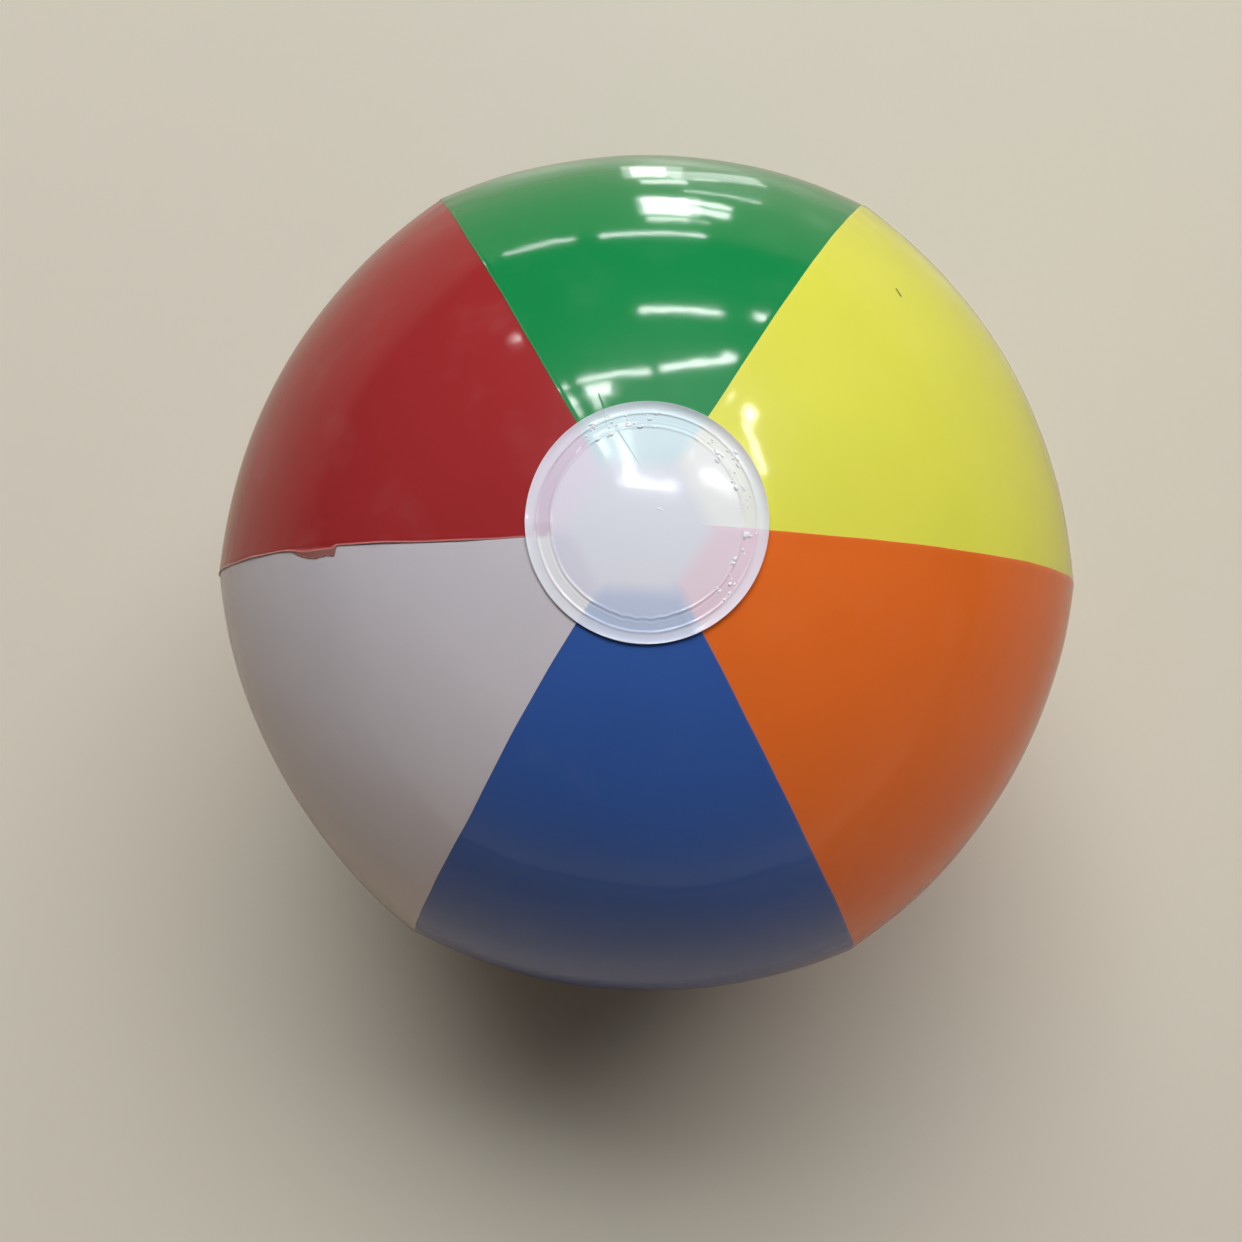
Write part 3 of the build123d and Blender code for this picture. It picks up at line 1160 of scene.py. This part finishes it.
@dataclass(frozen=True)
class EndDisc:
    """A disc of milky film, welded over the panels' tips with two rings and a free flap outside."""

    form: BallForm
    pole: Pole
    seam_azimuth: float
    radius: float = 30.0 * MM
    shift: Tuple[float, float] = (0.0, 0.0)
    film: float = 0.30 * MM
    seat_gap: float = 0.42 * MM
    inner_ring: float = 0.79
    outer_ring: float = 0.905
    bead_height: float = 0.17 * MM
    bead_width: float = 0.27 * MM
    band_depth: float = 0.10 * MM
    curl: float = 0.78 * MM
    crinkle: Tuple[float, float] = (-1.62, 0.36)
    curl_from: float = 0.915
    curl_heading: float = math.radians(38)
    ridge: float = 0.10 * MM
    rows: int = 240
    columns: int = 360
    bubble_seed: int = 3
    bubble_least: float = 0.22 * MM
    bubble_spread: float = 0.32 * MM

    def _settings(self) -> Dict[str, float]:
        """The sizes that the trees take as inputs."""
        return {
            "Radius": self.radius,
            "Film": self.film,
            "Seat Gap": self.seat_gap,
            "Bead Height": self.bead_height,
            "Band Depth": self.band_depth,
            "Curl": self.curl,
            "Ridge": self.ridge,
        }

    def _seat(self, reach: Value, across: Value) -> Value:
        """Height over the ball's centre of the panels beneath a point.

        Args:
            reach: The point's distance from the ball's axis.
            across: Its turn past the middle line of the panel beneath.

        Returns:
            The height.
        """
        aside = reach * across.sine()
        crown = self.form.crown_radius
        outward = (crown * crown - aside * aside).root() - self.form.crown_offset
        inward = reach * across.cosine()
        return (outward * outward - inward * inward).root()

    def _seam_ridge(self, reach: Value, beside_seam: Value, tree: Tree) -> Value:
        """Height that the panels' laps lift the film, along each seam outside the opening."""
        opening = self.form.opening_apothem
        welded = reach.rise(opening + 1 * MM, opening + 8 * MM)
        return tree.size("Ridge") * beside_seam.bump(0.0, 1.8 * MM) * welded

    def _relief(self, reach: Value, turn: Value, beside_seam: Value, tree: Tree) -> Value:
        """Height of the weld rings, the pressed band between them and the curled edge."""
        radius = tree.size("Radius")
        wander = (turn * 7).sine() * 0.10 * MM + (turn * 17 + 1.0).sine() * 0.05 * MM
        # The inner ring is crinkled on the side away from the lamps
        crinkle = (turn * 41).sine() * 0.24 * MM * turn.bump(*self.crinkle)
        inner = radius * self.inner_ring + wander + crinkle
        outer = radius * self.outer_ring + wander * 0.5
        swell = 1 + 0.30 * (turn * 5 + 0.6).sine() + 0.9 * beside_seam.bump(0.0, 0.7 * MM)
        beads = reach.bump(inner, self.bead_width) + reach.bump(outer, self.bead_width) * 0.9
        minor = reach.bump(inner + 1.1 * MM, 0.2 * MM) * 0.3
        raised = (beads * swell + minor) * tree.size("Bead Height")
        share = reach / radius
        band = share.rise(self.inner_ring, self.inner_ring + 0.02)
        band = band - share.rise(self.outer_ring - 0.02, self.outer_ring)
        lifted = ((share - self.curl_from) / (1 - self.curl_from)).at_least(0.0)
        uneven = 1 + 0.55 * (turn - self.curl_heading).cosine() + 0.10 * (turn * 6).sine()
        curled = lifted * lifted * uneven * tree.size("Curl")
        return raised - band * tree.size("Band Depth") + curled

    def _height(self, x: Value, y: Value, tree: Tree) -> Value:
        """Height over the ball's centre of the film's upper side at a point."""
        reach, across = length(x, y), past_middle(x, y, self.seam_azimuth, self.form.sides)
        beside_seam = reach * (math.pi / self.form.sides - abs(across)).sine()
        dx, dy = x - self.shift[0], y - self.shift[1]
        relief = self._relief(length(dx, dy), dy.turn_of(dx), beside_seam, tree)
        ridge = self._seam_ridge(reach, beside_seam, tree)
        return self._seat(reach, across) + tree.size("Seat Gap") + relief + ridge

    def _spot(self, reach: Value, turn: Value) -> Tuple[Value, Value]:
        """The x and y of a point at a distance and a turn from the disc's middle."""
        return reach * turn.cosine() + self.shift[0], reach * turn.sine() + self.shift[1]

    def film_piece(self, material: bpy.types.Material) -> bpy.types.Object:
        """Builds the disc, as a rule on a grid of turns by steps out from its middle and back.

        Args:
            material: Its finish.

        Returns:
            The disc.
        """
        counts = {"Rows": self.rows, "Columns": self.columns}
        tree = Tree(f"{self.pole.node}_rule", self._settings(), counts)
        graph = tree.graph
        sizes = {"Size X": 1.0, "Size Y": 1.0}
        points = {"Vertices X": tree.size("Rows"), "Vertices Y": tree.size("Columns")}
        grid = graph.node("GeometryNodeMeshGrid", {}, {**sizes, **points})
        # step runs from -0.5 at the upper side's middle, by 0 at the rim, to 0.5 underneath
        step, round_share, _ = graph.axes(graph.node("GeometryNodeInputPosition").outputs[0])
        inward = (abs(step) * 2).at_most(1.0)
        reach = tree.size("Radius") * (1 - inward**1.45)
        x, y = self._spot(reach, (round_share + 0.5) * FULL_TURN)
        under = step.rise(-0.004, 0.004) * tree.size("Film")
        z = (self._height(x, y, tree) - under) * self.pole.value + self.form.centre.z
        if self.pole is Pole.BOTTOM:
            z = z.at_least(under)
        inputs = {"Geometry": grid.outputs[0], "Position": graph.vector(x, y, z)}
        placed = graph.node("GeometryNodeSetPosition", {}, inputs)
        inputs = {"Geometry": placed.outputs[0], "Distance": 0.001 * MM}
        closed = graph.node("GeometryNodeMergeByDistance", {}, inputs)
        made = tree.finish(f"{self.pole.node}_film", closed.outputs[0], material)
        face_outwards(made)
        smooth(made, 60.0)
        return made

    def bubble_piece(
        self, name: str, first: float, last: float, count: int, material: bpy.types.Material
    ) -> bpy.types.Object:
        """Builds the air bubbles that the weld has trapped along one stretch of the band.

        Args:
            name: The new object's name.
            first: Where the stretch starts, as a turn about the disc's middle in degrees.
            last: Where it ends.
            count: How many bubbles.
            material: Their finish.

        Returns:
            The bubbles.
        """
        tree = Tree(f"{name}_rule", self._settings(), {"Count": count, "Seed": self.bubble_seed})
        graph = tree.graph

        def chance(low: float, high: float, draw: int) -> Value:
            """A random number for each bubble."""
            inputs = {2: low, 3: high, "Seed": tree.size("Seed") + float(draw)}
            drawn = graph.node("FunctionNodeRandomValue", {"data_type": "FLOAT"}, inputs)
            return graph.value(drawn.outputs[1])

        turn = chance(math.radians(first), math.radians(last), 0)
        reach = tree.size("Radius") * chance(self.inner_ring - 0.035, self.outer_ring + 0.03, 1)
        x, y = self._spot(reach, turn)
        z = self._height(x, y, tree) * self.pole.value + self.form.centre.z - 0.02 * MM
        inputs = {"Count": tree.size("Count"), "Position": graph.vector(x, y, z)}
        dots = graph.node("GeometryNodePoints", {}, inputs)
        inputs = {"Segments": 12, "Rings": 8, "Radius": 1.0}
        ball = graph.node("GeometryNodeMeshUVSphere", {}, inputs)
        # Most bubbles are small, and a few are over twice as wide
        wide = self.bubble_least + chance(0.0, 1.0, 2) ** 2.0 * self.bubble_spread
        inputs = {
            "Points": dots.outputs[0],
            "Instance": ball.outputs["Mesh"],
            "Rotation": graph.vector(z=turn),
            "Scale": graph.vector(wide, wide * chance(0.9, 1.9, 3), wide * 0.75),
        }
        spread = graph.node("GeometryNodeInstanceOnPoints", {}, inputs)
        made = tree.finish(name, spread.outputs[0], material)
        smooth(made, 80.0)
        return made


def face_outwards(piece: bpy.types.Object) -> None:
    """Makes a closed mesh's faces point outwards."""
    built = bmesh.new()
    built.from_mesh(piece.data)
    bmesh.ops.recalc_face_normals(built, faces=built.faces)
    built.to_mesh(piece.data)
    built.free()


# ------------------------------------------------------------------ valve


@dataclass
class Valve:
    """The push-in valve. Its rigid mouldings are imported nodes, and its soft ones are made here."""

    mouth: Vector
    axis: Vector
    skirt_inside: float = 7.7 * MM
    skirt_depth: float = 8.0 * MM
    skirt_wall: float = 0.6 * MM
    skirt_gap: float = 0.1 * MM
    stem_gap: float = 0.15 * MM
    mouth_depth: float = 1.2 * MM
    stem_radius: float = 5.0 * MM
    strap_radius: float = 6.1 * MM
    strap_sweep: float = math.radians(140)
    strap_wide: float = 1.0 * MM
    strap_thick: float = 0.9 * MM
    strap_foot: float = 0.75 * MM
    skirt_steps: int = 96
    strap_steps: int = 40
    strap_sides: int = 12

    @property
    def place(self) -> Matrix:
        """Takes Z to the valve's axis, with the origin at the stem's mouth."""
        aside = Vector((0, 0, 1)).cross(self.axis).normalized()
        turned = Matrix((aside, self.axis.cross(aside), self.axis)).transposed()
        return Matrix.Translation(self.mouth) @ turned.to_4x4()

    def skirt(self) -> bpy.types.Object:
        """The thin cup between the flange and the stem, which turns inside out."""
        rim, low, wall = self.mouth_depth, self.mouth_depth - self.skirt_depth, self.skirt_wall
        out, hole = self.skirt_inside - self.skirt_gap, self.stem_radius + self.stem_gap
        taper, straight_end = 0.35 * MM, low + 1.0 * MM
        down = np.linspace(0, 1, 15)
        outer = [(out - taper * s, rim + (straight_end - rim) * s) for s in down]
        inner = [(r - wall, h) for r, h in outer]
        corner = [(out - 2 * taper, low + taper), (out - 1.3 * MM, low)]
        floor = [(hole, low), (hole, low + wall), (out - 1.6 * MM, low + wall)]
        section = outer + corner + floor + inner[::-1]
        turns = [FULL_TURN * step / self.skirt_steps for step in range(self.skirt_steps)]
        rings = [[self.place @ on_round(r, turn, h) for r, h in section] for turn in turns]
        made = ringed("valve_skirt_soft", rings, endless=True)
        smooth(made, 50.0)
        return made

    def strap(self) -> bpy.types.Object:
        """The strap from the stem's mouth to the plug's rim, which bends down to its foot."""
        rings = []
        for step in range(self.strap_steps + 1):
            share = step / self.strap_steps
            foot = self.strap_foot * (1 - eased(share, 0.0, 0.14))
            ring = []
            for side in range(self.strap_sides):
                around = FULL_TURN * side / self.strap_sides
                r = self.strap_radius - foot + math.cos(around) * self.strap_wide / 2
                h = (math.sin(around) - 1) * self.strap_thick / 2
                ring.append(self.place @ on_round(r, self.strap_sweep * share, h))
            rings.append(ring)
        made = ringed("plug_strap_soft", rings, endless=False)
        smooth(made, 60.0)
        return made

    def build(self) -> None:
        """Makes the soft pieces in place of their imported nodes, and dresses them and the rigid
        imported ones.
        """
        material = MOULDED_VINYL.material()
        skirt, strap = self.skirt(), self.strap()
        skirt.data.materials.append(material)
        strap.data.materials.append(material)
        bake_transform(skirt)
        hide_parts("valve_skirt")
        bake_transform(strap)
        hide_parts("plug_strap")
        for piece in (skirt, strap):
            report(piece)
        for node in ("valve_flange", "valve_stem", "valve_plug", "check_flap"):
            packed = frame["nodes"][node]
            packed.data.materials.clear()
            packed.data.materials.append(material)
            log.info("%s: packed node, dressed", node)


# ------------------------------------------------------------------ studio


@dataclass(frozen=True)
class Lamp:
    """A straight strip lamp that faces the ball. Angles are in degrees, seen from its centre.

    A soft lamp lights the ball and the floor. The others only make the highlights.
    """

    name: str
    start: Tuple[float, float]
    end: Tuple[float, float]
    breadth: float
    brightness: float = 26.0
    distance: float = 4.0
    soft: bool = False
    colour: Colour = (1.0, 1.0, 1.0)


@dataclass
class Studio:
    """Plain pale floor, plain soft light and the camera."""

    centre: Vector
    floor_half: float = 8.0
    floor_colour: Colour = (0.75, 0.705, 0.60)
    floor_ior: float = 1.5
    warm_floor: Colour = (0.52, 0.44, 0.35)
    far_floor: Colour = (0.46, 0.39, 0.30)
    far_floor_start: Vector = Vector((0.05, -0.40, 0.0))
    floor_fades: Tuple[float, float] = (0.55, 1.1)
    floor_ends: Tuple[float, float] = (0.8, 1.8)
    floor_roughness: float = 0.22
    plain_roughness: float = 0.6
    glow_heading: Tuple[float, float] = (78.0, 50.0)
    glow: Colour = (0.80, 0.81, 0.84)
    glow_narrowness: float = 14.0
    shade: Colour = (0.022, 0.018, 0.015)
    front_heading: Tuple[float, float] = (268.0, 0.0)
    front: Colour = (0.36, 0.32, 0.25)
    front_lowness: float = 3.0
    backdrop: Colour = (0.74, 0.71, 0.64)
    camera_azimuth: float = -81.7
    camera_elevation: float = 84.79
    camera_distance: float = 472.5 * MM
    camera_aim: Tuple[float, float, float] = (-7.7 * MM, -15.3 * MM, -0.65 * MM)
    camera_roll: float = 1.69
    camera_lens: float = 39.91
    lamps: Tuple[Lamp, ...] = (
        Lamp("soft_key", (36.0, 44.0), (118.0, 44.0), 22.0, 5.8, 4.5, soft=True),
        Lamp("soft_back", (84.0, 47.0), (128.0, 45.0), 28.0, 2.05, 4.5, soft=True),
        Lamp("soft_front", (242.0, 3.6), (330.0, 3.6), 6.6, 2.5, 4.5, True, (1.0, 0.72, 0.50)),
        Lamp("pole_across", (100.0, 72.0), (64.0, 72.0), 1.7, 20.0),
        Lamp("pole_along", (100.0, 60.0), (100.0, 73.0), 1.7, 20.0),
        Lamp("pole_right", (40.0, 63.0), (56.0, 65.5), 2.2, 15.0),
        Lamp("side_yellow", (52.5, 49.4), (37.5, 53.8), 1.0),
        Lamp("side_yellow_end", (55.0, 44.8), (51.0, 48.6), 1.6, 18.0),
        Lamp("side_yellow_star", (51.5, 45.4), (54.5, 47.6), 1.0, 20.0),
        Lamp("middle_left", (107.6, 47.3), (100.2, 47.7), 3.4),
        Lamp("middle_left_tail", (105.5, 49.0), (105.5, 52.5), 1.2, 20.0),
        Lamp("middle_back", (109.0, 43.4), (89.5, 43.7), 1.2),
        Lamp("middle_front", (86.9, 42.9), (72.0, 36.9), 1.5),
        Lamp("middle_right", (73.0, 36.0), (70.0, 35.0), 2.6, 22.0),
        Lamp("far", (92.5, 26.6), (76.0, 22.9), 1.3),
        Lamp("far_right", (71.0, 21.0), (68.5, 20.4), 1.5),
        Lamp("far_left", (124.1, 27.6), (121.5, 27.9), 0.9),
        Lamp("low_left", (112.3, 7.8), (101.4, 8.0), 0.45, 22.0, 0.6),
        Lamp("low_right", (98.0, 8.0), (82.0, 6.9), 0.5, 26.0, 0.6),
        Lamp("rim_core", (93.4, -14.5), (89.0, -14.7), 8.0, 3.4, 0.33),
        Lamp("rim_halo", (94.6, -14.6), (86.8, -14.9), 10.5, 1.2, 0.33),
        Lamp("rim_line", (92.1, -6.9), (85.9, -7.6), 2.6, 4.0, 0.33),
        Lamp("rim_right", (88.7, -11.8), (76.7, -16.2), 6.5, 1.5, 0.33),
        Lamp("rim_streak", (85.2, -10.7), (81.8, -11.0), 0.5, 4.0, 0.33),
        Lamp("patch", (91.6, 1.0), (85.1, 0.4), 7.2, 10.0, 0.43),
        Lamp("patch_halo", (92.4, 1.0), (83.6, 0.4), 8.6, 3.0, 0.43),
        Lamp("patch_upper", (85.1, -2.0), (79.4, -1.4), 1.8, 9.0, 0.43),
        Lamp("patch_lower", (85.1, 1.7), (79.4, 2.0), 2.6, 9.0, 0.43),
        Lamp("patch_line", (91.0, 6.8), (84.9, 6.2), 1.2, 11.0, 0.43),
        Lamp("patch_line_end", (84.9, 6.2), (81.7, 6.2), 0.8, 5.0, 0.43),
        Lamp("patch_far_line", (86.3, -7.6), (76.0, -7.9), 0.45, 9.0, 0.43),
    )

    def _direction(self, azimuth: float, elevation: float) -> Vector:
        """Unit vector at an azimuth from +X and an elevation over the floor, in degrees."""
        a, e = math.radians(azimuth), math.radians(elevation)
        return Vector((math.cos(a) * math.cos(e), math.sin(a) * math.cos(e), math.sin(e)))

    def _floor(self) -> None:
        """A plain pale polished floor, which the camera sees without its gloss."""
        half = self.floor_half
        built = bmesh.new()
        corners = [(-half, -half), (half, -half), (half, half), (-half, half)]
        built.faces.new([built.verts.new((x, y, -0.2 * MM)) for x, y in corners])
        floor = mesh_object("floor", built)
        surface = Surface("plain_floor", ior=self.floor_ior)
        graph, place, polished = surface.graph, surface.place, surface.shader
        plain = graph.node("ShaderNodeBsdfPrincipled")
        plain.inputs["Specular IOR Level"].default_value = 0.1
        cloud = graph.noise(place, 0.35, 4.0)
        darker = opaque(blended(self.floor_colour, BLACK, 0.05))
        even = graph.mix(cloud, darker, opaque(self.floor_colour))
        # Seen in reflections and in the light it throws back, the floor is painted darker and warmer
        # than the plain floor that the camera sees, and darker still farther off: painted shade
        away = graph.measure("DISTANCE", place, self.far_floor_start)
        fade = away.rise(*self.floor_fades)
        fading = graph.mix(fade, opaque(self.warm_floor), opaque(self.far_floor))
        for shader, colour, roughness in (
            (polished, fading, self.floor_roughness),
            (plain, even, self.plain_roughness),
        ):
            graph.tree.links.new(colour, shader.inputs["Base Color"])
            shader.inputs["Roughness"].default_value = roughness
        # Far off, where the lamps don't reach, the floor runs into the backdrop
        wall = graph.node("ShaderNodeEmission", {}, {"Color": opaque(self.backdrop)})
        inputs = {0: away.rise(*self.floor_ends), 1: plain.outputs[0], 2: wall.outputs[0]}
        far = graph.node("ShaderNodeMixShader", {}, inputs)
        seen = graph.node("ShaderNodeLightPath").outputs["Is Camera Ray"]
        inputs = {0: seen, 1: polished.outputs[0], 2: far.outputs[0]}
        both = graph.node("ShaderNodeMixShader", {}, inputs)
        graph.tree.links.new(both.outputs[0], graph.tree.nodes["Material Output"].inputs[0])
        floor.data.materials.append(surface.made)

    def _world(self) -> None:
        """Dim warm light from all round, with a broad soft glow from the side of the lamps."""
        world = bpy.data.worlds.new("soft_room")
        bpy.context.scene.world = world
        world.use_nodes = True
        graph = Graph(world.node_tree)
        shade = world.node_tree.nodes["Background"]
        way = graph.node("ShaderNodeTexCoord").outputs["Generated"]

        def towards(heading: Vector) -> Value:
            """The cosine of the angle from a heading."""
            return graph.measure("DOT_PRODUCT", way, heading).at_least(0.0)

        lobe = towards(self._direction(*self.glow_heading)) ** self.glow_narrowness
        low = (1 - towards(Vector((0, 0, 1)))) ** self.front_lowness
        low = low * towards(self._direction(*self.front_heading)).rise(0.0, 0.6)
        sky = graph.mix(low, opaque(self.shade), opaque(self.front))
        sky = graph.mix(lobe, sky, opaque(self.glow))
        seen = graph.value(graph.node("ShaderNodeLightPath").outputs["Is Camera Ray"])
        graph.tree.links.new(graph.mix(seen, sky, opaque(self.backdrop)), shade.inputs["Color"])

    def _light(self, lamp: Lamp) -> None:
        """Hangs one lamp so that it faces the ball."""
        ends = [self._direction(*end) * lamp.distance for end in (lamp.start, lamp.end)]
        middle, along = (ends[0] + ends[1]) / 2, (ends[1] - ends[0]).normalized()
        way = middle.normalized()
        data = bpy.data.lights.new(lamp.name, "AREA")
        data.shape = "RECTANGLE"
        data.size = (ends[1] - ends[0]).length
        data.size_y = lamp.distance * math.radians(lamp.breadth)
        data.energy = lamp.brightness * math.pi * data.size * data.size_y
        data.color = lamp.colour
        made = into_scene(lamp.name, data)
        along = (along - way * along.dot(way)).normalized()
        facing = Matrix((along, way.cross(along), way)).transposed().to_4x4()
        made.matrix_world = Matrix.Translation(self.centre + middle) @ facing
        made.visible_glossy = not lamp.soft
        made.visible_diffuse = lamp.soft
        made.visible_camera = False

    def _camera(self) -> None:
        """Looks down on the ball from nearly overhead."""
        data = bpy.data.cameras.new("camera")
        data.lens = self.camera_lens
        data.sensor_width = 36.0
        data.clip_start = 0.01
        made = into_scene("camera", data)
        way = self._direction(self.camera_azimuth, self.camera_elevation)
        eye = self.centre + way * self.camera_distance
        back = (eye - (self.centre + Vector(self.camera_aim))).normalized()
        aside = Vector((0, 1, 0)).cross(back).normalized()
        facing = Matrix((aside, back.cross(aside), back)).transposed().to_4x4()
        roll = Matrix.Rotation(math.radians(self.camera_roll), 4, "Z")
        made.matrix_world = Matrix.Translation(eye) @ facing @ roll
        bpy.context.scene.camera = made

    def build(self) -> None:
        """Sets up floor, light and camera."""
        self._floor()
        self._world()
        for lamp in self.lamps:
            self._light(lamp)
        self._camera()
        bpy.context.scene.view_settings.view_transform = "Standard"
        log.info("studio: floor, %d lamps and camera", len(self.lamps))


# ------------------------------------------------------------------ assembly


def ride_as(piece: bpy.types.Object, node: Optional[str]) -> None:
    """Puts a finished piece on the ball's body and reports it.

    Args:
        piece: The piece.
        node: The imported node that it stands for, if there is one.
    """
    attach(piece, "ball")
    if node:
        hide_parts(node)
    report(piece)


def build_panels(skin: Skin) -> None:
    """Builds and dresses the six panels.

    Args:
        skin: The panels' form and places.
    """
    scratch = Mark(
        place=(69.0 * MM, 72.0 * MM),
        heading=math.radians(118),
        length=3.6 * MM,
        width=0.28 * MM,
        colour=(0.10, 0.09, 0.02),
    )
    # A raised crease on the green panel, with painted shade along it
    crease = Mark(
        place=(-10.2 * MM, 31.4 * MM),
        heading=math.radians(111),
        length=5.0 * MM,
        width=0.11 * MM,
        colour=(0.006, 0.17, 0.05),
        rise=4.0,
    )
    finishes = {
        Vinyl.RED: FilmFinish(Vinyl.RED, scuffs=0.26, cut_edge_highlight=0.8),
        Vinyl.GREEN: FilmFinish(Vinyl.GREEN, marks=(crease,)),
        Vinyl.YELLOW: FilmFinish(Vinyl.YELLOW, marks=(scratch,)),
    }
    for index, gore in enumerate(skin.gores):
        piece = skin.panel(index)
        finish = finishes.get(gore.vinyl, FilmFinish(gore.vinyl))
        piece.data.materials.append(finish.material())
        smooth(piece)
        ride_as(piece, gore.vinyl.node)


def build_discs(form: BallForm, skin: Skin) -> None:
    """Builds and dresses both end discs, and the bubbles in the upper one's weld.

    Args:
        form: The ball's form.
        skin: The panels, for where their seams are.
    """
    # Creases in the upper disc's film. The pale colours on them are painted highlights where the
    # creases catch the light
    pale = (0.95, 0.96, 1.0)
    folds_and_highlights = tuple(
        Mark((x * MM, y * MM), math.radians(heading), long * MM, wide * MM, colour, rise)
        for x, y, heading, long, wide, colour, rise in (
            (-4.4, 21.7, 123.4, 19.0, 0.15, None, 4.5),
            (-9.0, 27.4, 104.0, 7.0, 0.15, None, 4.0),
            (5.0, 4.3, -20.0, 1.8, 0.16, (0.96, 0.97, 1.0), 5.0),
            (-25.4, -2.7, 95.0, 2.4, 0.22, pale, 1.5),
            (-22.0, -2.7, 95.0, 2.6, 0.22, pale, 1.5),
            (-11.7, -18.1, 145.0, 2.2, 0.22, pale, 1.5),
            (-12.6, -19.6, 145.0, 1.8, 0.22, pale, 1.5),
            (-13.3, -21.1, 145.0, 2.2, 0.22, pale, 1.5),
            (-15.4, 18.7, 55.0, 2.4, 0.22, pale, 1.5),
        )
    )
    for pole, shift, marks in (
        (Pole.TOP, (1.9 * MM, 1.4 * MM), folds_and_highlights),
        (Pole.BOTTOM, (0.0, 0.0), ()),
    ):
        disc = EndDisc(form, pole, skin.seams[0], shift=shift)
        finish = DiscFinish(
            f"{pole.node}_milky",
            shift,
            disc.radius,
            form.opening_apothem,
            skin.disc_seams(24 * MM),
            marks,
        )
        material = finish.material()
        ride_as(disc.film_piece(material), pole.node)
        if pole is Pole.TOP:
            bubbly = BUBBLE_FILM.material()
            for name, first, last, count in (
                ("weld_bubbles_right", -50.0, 54.0, 52),
                ("weld_bubbles_back", 84.0, 127.0, 34),
            ):
                ride_as(disc.bubble_piece(name, first, last, count, bubbly), None)


def main() -> None:
    """Builds the ball's pieces in order, then the studio."""
    logging.basicConfig(level=logging.INFO, format="%(name)s %(message)s")
    low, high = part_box(Vinyl.YELLOW.node)
    centre = Vector((0, 0, (low.z + high.z) / 2))
    port = next(m for m in frame["record"]["mounts"] if m["name"] == "inflation_port")
    axis = Vector(port["axis"]).normalized()
    mouth = Vector(port["pos_m"])
    form = BallForm(centre)
    skin = Skin(form, valve_point=centre + axis * form.meridian_radius, valve_axis=axis)
    build_panels(skin)
    build_discs(form, skin)
    Valve(mouth, axis).build()
    Studio(centre).build()


if __name__ == "__main__":
    main()
